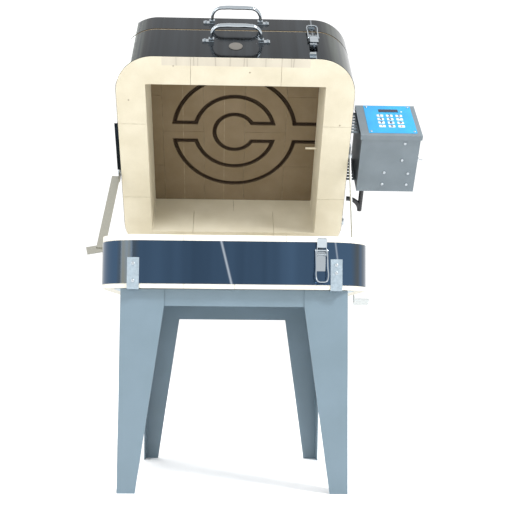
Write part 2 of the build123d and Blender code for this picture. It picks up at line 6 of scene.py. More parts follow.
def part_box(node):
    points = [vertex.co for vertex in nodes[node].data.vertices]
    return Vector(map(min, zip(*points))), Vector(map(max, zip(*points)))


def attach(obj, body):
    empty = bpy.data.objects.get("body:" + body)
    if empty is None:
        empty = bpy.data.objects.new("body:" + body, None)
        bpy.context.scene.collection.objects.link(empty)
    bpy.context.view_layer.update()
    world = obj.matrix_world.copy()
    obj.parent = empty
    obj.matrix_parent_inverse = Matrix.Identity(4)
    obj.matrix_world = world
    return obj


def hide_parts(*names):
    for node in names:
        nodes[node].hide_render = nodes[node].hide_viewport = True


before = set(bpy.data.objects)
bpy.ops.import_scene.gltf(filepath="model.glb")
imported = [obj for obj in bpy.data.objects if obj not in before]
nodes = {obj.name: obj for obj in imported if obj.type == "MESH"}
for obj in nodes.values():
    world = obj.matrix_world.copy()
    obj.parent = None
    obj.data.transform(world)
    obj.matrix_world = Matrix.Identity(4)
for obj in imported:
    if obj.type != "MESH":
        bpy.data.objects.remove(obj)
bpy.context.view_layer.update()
print("frame loaded,", len(nodes), "nodes")

# Millimetres in the dictionaries, metres in the scene
kiln = {
    "openAngle": 48.0,
    "hingeBack": 318.0,
    "hingeHeight": 574.2,
    "front": -307.5,
    "ringLow": 574.4,
    "lidLow": 738.9,
    "lidHigh": 814.2,
    "overlayFace": -92.2,
}
pinLow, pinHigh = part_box("hinge_pins_ring")
pinMiddle = (pinLow + pinHigh) / 2
level = Matrix.Translation((pinMiddle.x, pinMiddle.y - kiln["hingeBack"] / 1000, 0))
hingeLocal = Vector((0, kiln["hingeBack"], kiln["hingeHeight"])) / 1000
opening = Matrix.Translation(pinMiddle) @ Matrix.Rotation(math.radians(-kiln["openAngle"]), 4, "X")
opening = opening @ Matrix.Translation(-hingeLocal)


# Small helpers for working with the operators
def useOnly(piece):
    if bpy.context.object and bpy.context.object.mode != "OBJECT":
        bpy.ops.object.mode_set(mode="OBJECT")
    bpy.ops.object.select_all(action="DESELECT")
    if piece:
        piece.select_set(True)
        bpy.context.view_layer.objects.active = piece


def newPiece(name):
    piece = bpy.context.object
    piece.name = name
    piece.data.name = name
    return piece


def pick(piece, kind, test):
    # kind is "FACE" or "EDGE", and test is given the middle of each and, for a face, its normal
    useOnly(piece)
    bpy.ops.object.mode_set(mode="EDIT")
    bpy.ops.mesh.select_mode(type=kind)
    bpy.ops.mesh.select_all(action="DESELECT")
    bpy.ops.object.mode_set(mode="OBJECT")
    mesh = piece.data
    if kind == "FACE":
        for face in mesh.polygons:
            face.select = bool(test(face.center, face.normal))
    else:
        for edge in mesh.edges:
            ends = [mesh.vertices[i].co for i in edge.vertices]
            edge.select = bool(test((ends[0] + ends[1]) / 2, ends[1] - ends[0]))
    bpy.ops.object.mode_set(mode="EDIT")


def applyModifier(piece, kind, **settings):
    useOnly(piece)
    modifier = piece.modifiers.new(kind.title(), kind)
    for key, value in settings.items():
        setattr(modifier, key, value)
    bpy.ops.object.modifier_apply(modifier=modifier.name)


def roundEdges(piece, width, angle):
    limit = math.radians(angle)
    applyModifier(piece, "BEVEL", width=width, segments=2, limit_method="ANGLE", angle_limit=limit)


def settle(piece, place):
    useOnly(piece)
    piece.matrix_world = place @ piece.matrix_world
    bpy.ops.object.transform_apply(location=True, rotation=True, scale=True)


def closePiece(piece, merge=0.00001):
    useOnly(piece)
    bpy.ops.object.mode_set(mode="EDIT")
    bpy.ops.mesh.select_all(action="SELECT")
    bpy.ops.mesh.remove_doubles(threshold=merge)
    bpy.ops.mesh.normals_make_consistent(inside=False)
    bpy.ops.object.mode_set(mode="OBJECT")


def smooth(piece, angle=35):
    useOnly(piece)
    bpy.ops.object.shade_smooth_by_angle(angle=math.radians(angle))


def joinPieces(pieces, name):
    useOnly(pieces[0])
    for piece in pieces:
        piece.select_set(True)
    bpy.ops.object.join()
    return newPiece(name)


def copyPiece(piece, place):
    twin = piece.copy()
    twin.data = piece.data.copy()
    bpy.context.scene.collection.objects.link(twin)
    bpy.context.view_layer.update()
    settle(twin, place)
    return twin


def wireFrom(name, points, thick, radii=None, sides=2):
    useOnly(None)
    bpy.ops.curve.primitive_bezier_curve_add(location=(0, 0, 0))
    piece = newPiece(name)
    curve = piece.data
    curve.splines.clear()
    spline = curve.splines.new("BEZIER")
    spline.bezier_points.add(len(points) - 1)
    for number, (point, place) in enumerate(zip(spline.bezier_points, points)):
        point.co = Vector(place) / 1000
        point.handle_left_type = point.handle_right_type = "AUTO"
        point.radius = radii[number] if radii else 1.0
    curve.dimensions = "3D"
    curve.bevel_depth = thick / 1000
    curve.bevel_resolution = sides
    curve.resolution_u = 8
    curve.use_fill_caps = True
    bpy.ops.object.convert(target="MESH")
    return newPiece(name)


# Shader kit: sockets take part in plain expressions, every other node comes from Finish.add
class Wire:
    def __init__(self, finish, socket):
        self.finish = finish
        self.socket = socket

    def maths(self, operation, *others):
        values = {number: value for number, value in enumerate((self,) + others)}
        return self.finish.add("ShaderNodeMath", {"operation": operation}, values)

    def __add__(self, other):
        return self.maths("ADD", other)

    __radd__ = __add__

    def __sub__(self, other):
        return self.maths("SUBTRACT", other)

    def __rsub__(self, other):
        return self.finish.add("ShaderNodeMath", {"operation": "SUBTRACT"}, {0: other, 1: self})

    def __mul__(self, other):
        return self.maths("MULTIPLY", other)

    __rmul__ = __mul__

    def __truediv__(self, other):
        return self.maths("DIVIDE", other)

    def __lt__(self, other):
        return self.maths("LESS_THAN", other)

    def __gt__(self, other):
        return self.maths("GREATER_THAN", other)

    def __abs__(self):
        return self.maths("ABSOLUTE")

    def clamp(self):
        return self.finish.add("ShaderNodeClamp", {}, {"Value": self})


class Finish:
    def __init__(self, name, colour, roughness=0.5, metallic=0.0, **more):
        self.material = bpy.data.materials.new(name)
        self.material.use_nodes = True
        self.tree = self.material.node_tree
        self.shader = self.tree.nodes["Principled BSDF"]
        self.put("Base Color", (*colour, 1.0))
        self.put("Roughness", roughness)
        self.put("Metallic", metallic)
        for key, value in more.items():
            self.put(key.replace("_", " "), value)
        self.material.diffuse_color = (*colour, 1.0)

    def put(self, name, value):
        if isinstance(value, Wire):
            self.tree.links.new(value.socket, self.shader.inputs[name])
        else:
            self.shader.inputs[name].default_value = value

    def add(self, kind, settings=None, values=None, out=0):
        made = self.tree.nodes.new(kind)
        for key, value in (settings or {}).items():
            if key == "stops":
                ramp = made.color_ramp.elements
                while len(ramp) < len(value):
                    ramp.new(0.5)
                for stop, (position, colour) in zip(ramp, value):
                    stop.position = position
                    stop.color = (*colour, 1.0)
            else:
                setattr(made, key, value)
        for key, value in (values or {}).items():
            if isinstance(value, Wire):
                self.tree.links.new(value.socket, made.inputs[key])
            else:
                made.inputs[key].default_value = value
        return Wire(self, made.outputs[out])

    # Coordinates in millimetres from the middle of the kiln, on the floor or turned back to shut
    def space(self, turned):
        place = self.add("ShaderNodeTexCoord", out=3)
        if turned:
            back = Matrix.Rotation(math.radians(kiln["openAngle"]), 4, "X")
            move = (hingeLocal - back @ pinMiddle) * 1000
            turn = (math.radians(kiln["openAngle"]), 0, 0)
        else:
            move = -level.translation * 1000
            turn = (0, 0, 0)
        values = {"Vector": place, "Location": move, "Rotation": turn, "Scale": (1000, 1000, 1000)}
        return self.add("ShaderNodeMapping", {}, values)

    def split(self, vector):
        self.add("ShaderNodeSeparateXYZ", {}, {0: vector})
        parts = self.tree.nodes[-1].outputs
        return [Wire(self, part) for part in parts]

    def noise(self, vector, size, detail=3.0, roughness=0.5, stretch=(1, 1, 1)):
        if stretch != (1, 1, 1):
            vector = self.add("ShaderNodeMapping", {}, {"Vector": vector, "Scale": stretch})
        values = {"Vector": vector, "Scale": 1.0 / size, "Detail": detail, "Roughness": roughness}
        return self.add("ShaderNodeTexNoise", {}, values)

    def cellsOf(self, vector, size, feature="F1"):
        return self.add("ShaderNodeTexVoronoi", {"feature": feature}, {"Vector": vector, "Scale": 1.0 / size})

    def ramp(self, value, *stops):
        return self.add("ShaderNodeValToRGB", {"stops": stops}, {0: value})

    def mix(self, amount, first, second, blend="MIX"):
        values = {0: amount}
        for key, colour in ((6, first), (7, second)):
            values[key] = colour if isinstance(colour, Wire) else (*colour, 1.0)
        return self.add("ShaderNodeMix", {"data_type": "RGBA", "blend_type": blend}, values, out=2)

    def bump(self, height, strength, distance):
        values = {"Height": height, "Strength": strength, "Distance": distance / 1000}
        self.put("Normal", self.add("ShaderNodeBump", {}, values))


def rgb(code):
    # a screen colour such as "8fa5b3" as linear values
    values = [int(code[i:i + 2], 16) / 255 for i in (0, 2, 4)]
    return tuple(v / 12.92 if v <= 0.04045 else ((v + 0.055) / 1.055) ** 2.4 for v in values)


def seamLine(coordinate, at, half):
    # 1 on the line and 0 past half a width either side
    return (1 - abs(coordinate - at) / half).clamp()


# Finishes
finishes = {}

paint = {"name": "standPaint", "colour": "697c88", "shade": "647782", "roughness": 0.5}
work = Finish(paint["name"], rgb(paint["colour"]), paint["roughness"], Coat_Weight=0.15, Coat_Roughness=0.25)
where = work.space(False)
patches = work.noise(where, 90, 4.0)
work.put("Base Color", work.ramp(patches, (0.35, rgb(paint["shade"])), (0.68, rgb(paint["colour"]))))
work.put("Roughness", 0.32 + 0.16 * work.noise(where, 12, 3.0))
work.bump(work.noise(where, 1.6, 2.0), 0.12, 0.2)
finishes["standPaint"] = work.material

zinc = {"name": "zincSheet", "bright": "b9c6cf", "dull": "8fa0ab", "spangle": 7.0}
work = Finish(zinc["name"], rgb(zinc["bright"]), 0.35, 1.0)
where = work.space(False)
spangle = work.cellsOf(where, zinc["spangle"])
work.put("Base Color", work.mix(work.noise(where, 5, 3.0), rgb(zinc["dull"]), rgb(zinc["bright"])))
work.put("Roughness", 0.25 + 0.3 * spangle)
work.bump(spangle, 0.1, 0.3)
finishes["zincSheet"] = work.material


def makeMirror(name, turned, look):
    # polished sheet, painted nearly black to stand in for the dark surroundings it reflects, with painted
    # reflection banding upright on the faces and warmer where the bent corners gather reflections
    work = Finish(name, rgb(look["middle"]), look["roughness"], 1.0)
    where = work.space(turned)
    x, y, z = work.split(where)
    bands = work.noise(where, look["bandSize"], 3.0, 0.6, (1, 1, 0.02))
    corner = ((abs(x) - look["cornerFrom"]) / 30).clamp() * (abs(y) > look["cornerFrom"] - 5)
    face = work.ramp(bands, (0.3, rgb(look["dark"])), (0.7, rgb(look["middle"])))
    bentStops = ((0.38, look["dark"]), (0.5, look["cornerReflectionTone"]), (0.6, look["middle"]))
    bent = work.ramp(bands, *[(at, rgb(tone)) for at, tone in bentStops])
    colour = work.mix(corner, face, bent)
    # painted highlights: pale leaning lines on the front faces stand in for reflected sunlight
    for at, lean, half, strength in look["paintedGlints"]:
        line = seamLine(x - lean * (z - look["glintFoot"]), at, half) * (y < 0) * strength
        colour = work.mix(line, colour, (0.85, 0.92, 1.0))
    # the lid's flat top has no bends, so it gets no painted reflection banding, only the plain middle tone
    colour = work.mix(z > kiln["lidHigh"] - 0.5, colour, rgb(look["middle"]))
    work.put("Base Color", colour)
    work.put("Roughness", look["roughness"] + 0.06 * work.noise(where, 30, 4.0, 0.6))
    work.bump(work.noise(where, 1.2, 2.0, 0.5, (1, 1, 0.03)), 0.02, 0.1)
    return work.material


# painted reflection colours for the base and upper jackets: dark and middle tones of the reflected surroundings,
# a corner tone, and glint lines
baseLook = {"middle": "40566e", "dark": "2c3d50", "cornerReflectionTone": "4a4c48", "cornerFrom": 212, "roughness": 0.1,
            "bandSize": 110, "glintFoot": 464, "paintedGlints": ((-7, -0.25, 4, 0.45), (238, -0.13, 3, 0.3))}
upperLook = {"middle": "2b3238", "dark": "0c1116", "cornerReflectionTone": "4b524c", "cornerFrom": 222,
             "roughness": 0.08, "bandSize": 30, "glintFoot": 574, "paintedGlints": ((201, 0.0, 3, 0.3),)}
finishes["mirrorBase"] = makeMirror("mirrorBase", False, baseLook)
finishes["mirrorUpper"] = makeMirror("mirrorUpper", True, upperLook)


def onRim(z):
    return z < kiln["ringLow"] + 2


def makeBrick(name, turned, look):
    work = Finish(name, rgb(look["colour"]), 0.95, 0.0, Specular_IOR_Level=0.2)
    where = work.space(turned)
    x, y, z = work.split(where)
    tint = work.ramp(work.noise(where, 70, 3.0), (0.3, rgb(look["shade"])), (0.7, rgb(look["colour"])))
    grain = work.noise(where, 3.0, 5.0, 0.65)
    colour = work.mix(0.35 * grain, tint, rgb(look["grain"]))
    seam = None
    for axis, other, at, beyond, half in look["seams"]:
        along = {"x": x, "y": y, "z": z}[axis]
        line = seamLine(abs(along) if at > 0 else along, at, half)
        if other:
            line = line * (abs({"x": x, "y": y}[other]) > beyond)
        seam = line if seam is None else (seam + line).clamp()
    broken = work.ramp(work.noise(where, 16, 3.0), (0.42, (0.25, 0.25, 0.25)), (0.62, (1, 1, 1)))
    if seam is not None:
        colour = work.mix(seam * broken * look["seamStrength"], colour, rgb(look["seamColour"]))
    for px, py, radius in look["pits"]:
        spot = (abs(x - px) + abs(y - py)) / radius
        colour = work.mix((1 - spot).clamp() * onRim(z), colour, rgb("6b5b4a"))
    if look["strip"]:
        # greyer strip along the front lip of the ring, with upright cracks
        strip = look["strip"]
        inside = (y < strip["back"]) * (abs(x - strip["middle"]) < strip["half"]) * onRim(z)
        upright = work.add("ShaderNodeMapping", {}, {"Vector": where, "Scale": (1, 0.05, 0.05)})
        craze = work.cellsOf(upright, strip["craze"], "DISTANCE_TO_EDGE")
        lipStripTone = work.ramp(craze, (0.0, rgb("9b9488")), (0.03, rgb("bdb7aa")), (0.5, rgb("c8c2b4")))
        colour = work.mix(inside * 0.85, colour, lipStripTone)
    if look["groove"]:
        # painted shade: the element grooves darken towards dark brown with depth above the slab's underside
        paintedGrooveShade = ((z - kiln["lidLow"] - 1.0) / 2.5).clamp() * (abs(x) < 300) * (abs(y) < 300)
        colour = work.mix(paintedGrooveShade * 0.6, colour, rgb("4a3a2c"))
    work.put("Base Color", colour)
    pores = work.cellsOf(where, 2.6)
    work.bump(grain * 0.7 + pores * 0.3, 0.35, 0.5)
    return work.material


wallSeams = (("x", "y", 115, 200, 1.0), ("y", "x", 115, 200, 1.0))
middleSeams = (("x", "y", 0, 200, 1.0), ("y", "x", 0, 200, 1.0))
lidSeams = [("x", None, at, 0, 1.2) for at in (-202.001, -86.5, 29.0, 144.5)]
creamBrick = {"colour": "d9d3c0", "shade": "ccc5b0", "grain": "b5ac96", "seamColour": "8f8468",
              "seamStrength": 0.75, "pits": (), "strip": None, "groove": False, "seams": wallSeams}
# floor and rim bricks: the cream brick made lighter, partly paler brick and partly painted sunlight on the base
sunlitWhiteBrick = dict(creamBrick, colour="ece9df", shade="e2ddd0", seams=())
finishes["floorBrick"] = makeBrick("floorBrick", False, sunlitWhiteBrick)
finishes["rimBrick"] = makeBrick("rimBrick", False, dict(creamBrick, colour="f1eee6", shade="e8e4d9"))
ringPits = ((-158, -283, 4), (35, -268, 4), (-275, -185, 4), (275, -120, 4))
ringStrip = {"back": -284, "middle": 0, "half": 187, "craze": 45}
finishes["ringBrick"] = makeBrick("ringBrick", True, dict(creamBrick, pits=ringPits, strip=ringStrip))
finishes["upperBrick"] = makeBrick("upperBrick", True, dict(creamBrick, seams=middleSeams))
# the lid slab's tan is partly older, darker brick and partly painted shade on its downward face
finishes["lidBrick"] = makeBrick("lidBrick", True, {
    "colour": "82745f", "shade": "776953", "grain": "675a46", "seamColour": "b0a48c", "seamStrength": 0.6,
    "pits": (), "strip": None, "groove": True, "seams": lidSeams})


def makeMetal(name, colour, roughness, size, vary=0.15, metallic=1.0):
    work = Finish(name, rgb(colour), roughness, metallic)
    where = work.space(False)
    work.put("Roughness", roughness + vary * work.noise(where, size, 4.0, 0.6))
    work.bump(work.noise(where, size * 0.2, 2.0), 0.04, 0.1)
    return work.material


finishes["chrome"] = makeMetal("chrome", "a9b1b7", 0.03, 20, 0.06)
finishes["fixingSteel"] = makeMetal("fixingSteel", "b8bfc4", 0.22, 6)
finishes["barSteel"] = makeMetal("barSteel", "aaa99f", 0.3, 14)
finishes["brightBar"] = makeMetal("brightBar", "c6cac9", 0.3, 14)
finishes["ovalPlate"] = makeMetal("ovalPlate", "8d8983", 0.35, 8)
finishes["switchNickel"] = makeMetal("switchNickel", "c7ccd0", 0.12, 5, 0.08)
finishes["elementWire"] = makeMetal("elementWire", "3a2a22", 0.6, 3, 0.2, 0.6)


def makeSmooth(name, colour, shade, roughness, size, bumpSize=2.0, strength=0.08, **more):
    work = Finish(name, rgb(colour), roughness, 0.0, **more)
    where = work.space(False)
    tone = work.noise(where, size, 3.0)
    work.put("Base Color", work.ramp(tone, (0.3, rgb(shade)), (0.7, rgb(colour))))
    work.put("Roughness", roughness + 0.1 * work.noise(where, size * 0.3, 3.0))
    work.bump(work.noise(where, bumpSize, 2.0), strength, 0.2)
    return work.material


finishes["boxPaint"] = makeSmooth("boxPaint", "6f7a81", "667178", 0.4, 60)
finishes["membrane"] = makeSmooth("membrane", "1a9bd0", "128fc8", 0.35, 40, 0.8, 0.05)
finishes["keyWhite"] = makeSmooth("keyWhite", "d3dbe0", "c9d2d8", 0.4, 10)
finishes["figureInk"] = makeSmooth("figureInk", "2b3050", "232847", 0.5, 4)
finishes["figureRed"] = makeSmooth("figureRed", "c0303c", "b02a36", 0.5, 4)
finishes["displayDark"] = makeSmooth("displayDark", "1c2140", "14182f", 0.12, 8, 2.0, 0.01)
finishes["boardGreen"] = makeSmooth("boardGreen", "2c6a40", "235735", 0.4, 12)
finishes["mouldedBlack"] = makeSmooth("mouldedBlack", "1b1c1e", "141517", 0.45, 8)
finishes["whiteCeramic"] = makeSmooth("whiteCeramic", "e9e3d4", "ddd5c3", 0.35, 9)
finishes["probeSheath"] = makeSmooth("probeSheath", "e6dfcc", "d9d0ba", 0.55, 6)
finishes["conduitBlack"] = makeSmooth("conduitBlack", "26282b", "1b1c1f", 0.38, 12)

dress = {
    "standPaint": ("leg_front_right", "leg_front_left", "leg_rear_right", "leg_rear_left", "apron_front",
                   "apron_rear", "aprons_side", "floor_bars"),
    "zincSheet": ("floor_pan", "base_straps", "hinge_leaves_base", "hinge_leaves_ring", "hinge_leaves_lid"),
    "mirrorBase": ("base_jacket",),
    # the left arm rail takes the upper jackets' painted dark reflection
    "mirrorUpper": ("ring_jacket", "lid_jacket", "arm_rail_left"),
    "floorBrick": ("floor_bricks",),
    "rimBrick": ("base_rim_bricks",),
    "ringBrick": ("ring_lower_bricks",),
    "upperBrick": ("ring_upper_bricks",),
    "lidBrick": ("lid_bricks",),
    "chrome": ("ring_handle", "lid_handle", "ring_handle_feet", "lid_handle_feet", "base_latch_plate",
               "base_latch_lever", "base_latch_loop", "base_latch_catch", "lid_latch_plate",
               "lid_latch_lever", "lid_latch_loop", "lid_latch_catch"),
    "fixingSteel": ("strap_screws", "box_screws", "hinge_pins_ring", "hinge_pins_lid", "arm_studs",
                    "thermocouple_block", "conduit_nuts"),
    "barSteel": ("prop_arm_left",),
    "brightBar": ("prop_arm_right",),
    "ovalPlate": ("blank_plate",),
    "elementWire": ("element_coil",),
    "boxPaint": ("box_shell", "box_panel", "box_brackets", "terminal_cover"),
    "membrane": ("keypad_overlay",),
    "keyWhite": ("keypad_keys",),
    "displayDark": ("display_window",),
    "boardGreen": ("controller_board",),
    "mouldedBlack": ("relay_and_terminals",),
    "whiteCeramic": ("tail_terminals",),
    "switchNickel": ("switch_body", "switch_bat"),
    "probeSheath": ("thermocouple",),
    "conduitBlack": ("conduit",),
}
for finish, members in dress.items():
    for member in members:
        for slot in nodes[member].material_slots:
            slot.material = finishes[finish]
print("finishes on the frame,", len(finishes))


def finishPiece(piece, finish, body, slotName, *replaced, angle=35):
    smooth(piece, angle)
    piece.data.materials.clear()
    piece.data.materials.append(finishes[finish])
    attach(piece, body)
    for name in replaced:
        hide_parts(name)
    return piece


# Pull handles: a bar that swells towards the middle of the grip
grip = {"half": 64, "out": 44.6, "foot": 9, "thick": 4.6, "footRadius": 0.9, "flat": 1.35}


def makeGrip(name, height, body, replaced):
    half, out, foot = grip["half"], grip["out"], grip["foot"]
    path = [(-half, foot - 9.5, 0), (-half, foot + 6, 0), (-half + 3, out - 16, 0)]
    path += [(-half + 15, out - 3.5, 0), (-half + 34, out - 0.3, 0), (0, out, 0)]
    path += [(-x, y, z) for x, y, z in reversed(path[:-1])]
    points = [(x, kiln["front"] - y, z + height) for x, y, z in path]
    swell = [grip["footRadius"], grip["footRadius"], 0.92, 0.98, 1.06, 1.1]
    swell += list(reversed(swell[:-1]))
    piece = wireFrom(name, points, grip["thick"], swell, sides=4)
    useOnly(piece)
    bpy.ops.object.mode_set(mode="EDIT")
    bpy.ops.mesh.select_all(action="SELECT")
    bpy.context.scene.tool_settings.transform_pivot_point = "MEDIAN_POINT"
    bpy.ops.transform.resize(value=(1, 1, grip["flat"]))
    bpy.ops.object.mode_set(mode="OBJECT")
    closePiece(piece)
    settle(piece, opening)
    return finishPiece(piece, "chrome", body, "chrome", replaced, angle=60)


makeGrip("ringGrip", 668.0, "ring", "ring_handle")
makeGrip("lidGrip", 781.0, "lid", "lid_handle")
print("handles made")

# Toggle latches: a folded lever with a thumb curl, and a wire loop on its own pin
toggle = {"width": 20.6, "skinTop": -12, "skinEnd": -42, "face": -4.3, "depth": 7.0, "ear": 4,
          "narrowing": 0.75, "sheet": 1.3, "pin": 2.0, "pinDrop": 9, "pinHalf": 15, "wire": 1.5, "loopHalf": 12.9}


def makeLever(name, length):
    half = toggle["width"] / 2000
    top = toggle["skinTop"] / 1000
    end = (toggle["skinEnd"] + 46 - length) / 1000
    useOnly(None)
    bpy.ops.mesh.primitive_plane_add(size=1, rotation=(math.radians(90), 0, 0))
    piece = newPiece(name)
    bpy.ops.object.transform_apply(location=True, rotation=True, scale=True)
    for vertex in piece.data.vertices:
        x = half if vertex.co.x > 0 else -half
        z = top if vertex.co.z > 0 else end
        vertex.co = (x, toggle["face"] / 1000, z)
    useOnly(piece)
    bpy.ops.object.mode_set(mode="EDIT")
    bpy.ops.mesh.select_all(action="SELECT")
    bpy.ops.mesh.subdivide(number_cuts=3)
    # thumb curl at the foot
    pick(piece, "EDGE", lambda c, d: abs(c.z - end) < 1e-5 and abs(d.z) < 1e-6)
    bpy.ops.mesh.extrude_edges_move(TRANSFORM_OT_translate={"value": (0, -0.0006, -0.0014)})
    bpy.ops.mesh.extrude_edges_move(TRANSFORM_OT_translate={"value": (0, -0.0010, -0.0010)})
    # cheeks folded back beside the plate lugs
    pick(piece, "EDGE", lambda c, d: abs(abs(c.x) - half) < 1e-5 and abs(d.x) < 1e-6 and c.z > end - 1e-5)
    bpy.ops.mesh.extrude_edges_move(TRANSFORM_OT_translate={"value": (0, toggle["depth"] / 1000, 0)})
    bpy.ops.object.mode_set(mode="OBJECT")
    back = (toggle["face"] + toggle["depth"]) / 1000
    for vertex in piece.data.vertices:
        if abs(vertex.co.y - back) < 1e-6:
            slope = (vertex.co.z - end) / (top - end)
            vertex.co.y -= (1 - slope) * toggle["depth"] * toggle["narrowing"] / 1000
    pick(piece, "EDGE", lambda c, d: abs(c.z - top) < 1e-5 and abs(abs(c.x) - half) < 1e-5)
    rise = (toggle["ear"] - toggle["skinTop"]) / 1000
    bpy.ops.mesh.extrude_edges_move(TRANSFORM_OT_translate={"value": (0, 0, rise)})
    bpy.ops.object.mode_set(mode="OBJECT")
    closePiece(piece)
    applyModifier(piece, "SOLIDIFY", thickness=toggle["sheet"] / 1000, offset=0.0)
    roundEdges(piece, 0.00035, 40)
    useOnly(None)
    bpy.ops.mesh.primitive_cylinder_add(vertices=20, radius=toggle["pin"] / 1000,
                                        depth=toggle["pinHalf"] * 0.002,
                                        location=(0, 0, -toggle["pinDrop"] / 1000),
                                        rotation=(0, math.radians(90), 0))
    pin = newPiece(name + "Pin")
    bpy.ops.object.transform_apply(location=True, rotation=True, scale=True)
    roundEdges(pin, 0.0006, 50)
    return joinPieces([piece, pin], name)


def makeLoop(name, bow):
    side = toggle["loopHalf"]
    low = -toggle["pinDrop"]
    points = [(-side, 0, low + 3), (-side, 0, bow * 0.45), (-side, 0, bow - 9), (-side + 2.6, 0, bow - 2.6)]
    points += [(-side + 8, 0, bow), (0, 0, bow)]
    points += [(-x, y, z) for x, y, z in reversed(points[:-1])]
    piece = wireFrom(name, points, toggle["wire"], sides=3)
    eyes = [piece]
    for way in (-1, 1):
        useOnly(None)
        bpy.ops.mesh.primitive_torus_add(major_segments=24, minor_segments=10, major_radius=0.00275,
                                         minor_radius=0.00065, location=(way * side / 1000, 0, low / 1000),
                                         rotation=(0, math.radians(90), 0))
        eye = newPiece(name + "Eye")
        eye.scale = (1, 1, 2.0)
        bpy.ops.object.transform_apply(location=True, rotation=True, scale=True)
        eyes.append(eye)
    return joinPieces(eyes, name)


def pivotAt(x, z):
    return Matrix.Translation(Vector((x, kiln["front"] - 8, z)) / 1000)


thrown = Matrix.Rotation(math.radians(-150), 4, "X")
loopPin = Matrix.Translation((0, 0, -toggle["pinDrop"] / 1000))
hung = loopPin @ Matrix.Rotation(math.radians(315), 4, "X") @ loopPin.inverted()
latches = {
    "lidLatch": {"at": (200, 692), "lever": 46, "bow": 68, "place": opening, "turn": Matrix.Identity(4),
                 "loopTurn": Matrix.Identity(4), "bodies": ("lid_lever", "lid_loop"),
                 "nodes": ("lid_latch_lever", "lid_latch_loop")},
    "baseLatch": {"at": (193, 533), "lever": 38, "bow": 65, "place": level, "turn": thrown, "loopTurn": hung,
                  "bodies": ("base_lever", "base_loop"), "nodes": ("base_latch_lever", "base_latch_loop")},
}
for name, latch in latches.items():
    pivot = pivotAt(*latch["at"])
    lever = makeLever(name + "Lever", latch["lever"])
    settle(lever, latch["place"] @ pivot @ latch["turn"])
    finishPiece(lever, "chrome", latch["bodies"][0], "chrome", latch["nodes"][0])
    loop = makeLoop(name + "Loop", latch["bow"])
    settle(loop, latch["place"] @ pivot @ latch["turn"] @ latch["loopTurn"])
    finishPiece(loop, "chrome", latch["bodies"][1], "chrome", latch["nodes"][1])
print("latches made")

# Screws: domed heads with a round drive recess
screws = {
    "boxScrews": {"place": opening, "body": "ring", "node": "box_screws", "heads": (
        (3.2, 1.8, (364, -92.2, 596), (0, -1, 0)), (3.2, 1.8, (480, -92.2, 596), (0, -1, 0)),
        (3.2, 1.8, (364, -92.2, 729), (0, -1, 0)), (3.2, 1.8, (480, -92.2, 729), (0, -1, 0)),
        (4.0, 2.4, (455, -66, 578), (0, 0, -1)), (4.0, 2.4, (453, -14, 578), (0, 0, -1)),
        (4.0, 2.4, (409, 26, 578), (0, 0, -1)), (4.0, 2.4, (474, 28, 578), (0, 0, -1)),
        (4.0, 2.4, (407, 63, 578), (0, 0, -1)), (4.0, 2.4, (474, 64, 578), (0, 0, -1)))},
    "strapScrews": {"place": level, "body": "stand", "node": "strap_screws", "heads": (
        (4.2, 2.2, (-226.7, -309.2, 508.5), (0, -1, 0)), (4.2, 2.2, (-226.7, -309.2, 470), (0, -1, 0)),
        (4.2, 2.2, (227.75, -309.2, 509), (0, -1, 0)), (4.2, 2.2, (227.75, -309.2, 491), (0, -1, 0)))},
}


def makeScrew(name, radius, height):
    useOnly(None)
    bpy.ops.mesh.primitive_cylinder_add(vertices=24, radius=radius / 1000, depth=height / 1000,
                                        location=(0, 0, height / 2000))
    piece = newPiece(name)
    bpy.ops.object.transform_apply(location=True, rotation=True, scale=True)
    top = height / 1000
    pick(piece, "FACE", lambda c, n: n.z > 0.9)
    bpy.ops.mesh.bevel(offset=radius * 0.00042, segments=4, profile=0.5, affect="EDGES")
    pick(piece, "FACE", lambda c, n: n.z > 0.95 and c.z > top - 1e-6 and c.length < top + 1e-5)
    bpy.ops.mesh.inset(thickness=radius * 0.00022)
    bpy.ops.mesh.extrude_region_move(TRANSFORM_OT_translate={"value": (0, 0, -height * 0.00045)})
    bpy.ops.object.mode_set(mode="OBJECT")
    return piece


for name, group in screws.items():
    heads = []
    for radius, height, at, way in group["heads"]:
        head = makeScrew(name + "Head", radius, height)
        turn = Vector((0, 0, 1)).rotation_difference(Vector(way)).to_matrix().to_4x4()
        settle(head, group["place"] @ Matrix.Translation(Vector(at) / 1000) @ turn)
        heads.append(head)
    piece = joinPieces(heads, name)
    finishPiece(piece, "fixingSteel", group["body"], "steel_fixings", group["node"])
print("screws made")

# Keypad: rounded membrane keys and plain numerals
pad = {"firstX": 397, "stepX": 26, "firstZ": 681, "stepZ": 19, "keyWide": 18, "keyHigh": 12, "proud": 0.6,
       "corner": 2.0, "figureSize": 14.5,
       "figures": ("1", "2", "3", "4", "5", "6", "7", "8", "9", None, "0", None)}
useOnly(None)
bpy.ops.mesh.primitive_cube_add(size=1)
firstKey = newPiece("keyPads")
firstKey.scale = (pad["keyWide"] / 1000, pad["proud"] / 1000, pad["keyHigh"] / 1000)
bpy.ops.object.transform_apply(location=True, rotation=True, scale=True)
pick(firstKey, "EDGE", lambda c, d: abs(d.y) > 1e-4)
bpy.ops.mesh.bevel(offset=pad["corner"] / 1000, segments=5, affect="EDGES")
pick(firstKey, "FACE", lambda c, n: n.y < -0.9)
bpy.ops.mesh.bevel(offset=0.0003, segments=2, affect="EDGES")
bpy.ops.object.mode_set(mode="OBJECT")
keys = []
for number in range(12):
    x = pad["firstX"] + pad["stepX"] * (number % 3)
    z = pad["firstZ"] - pad["stepZ"] * (number // 3)
    at = Vector((x, kiln["overlayFace"] - pad["proud"] / 2, z)) / 1000
    keys.append(copyPiece(firstKey, opening @ Matrix.Translation(at)))
bpy.data.objects.remove(firstKey)
keyPads = joinPieces(keys, "keyPads")
finishPiece(keyPads, "keyWhite", "ring", "keys", "keypad_keys")

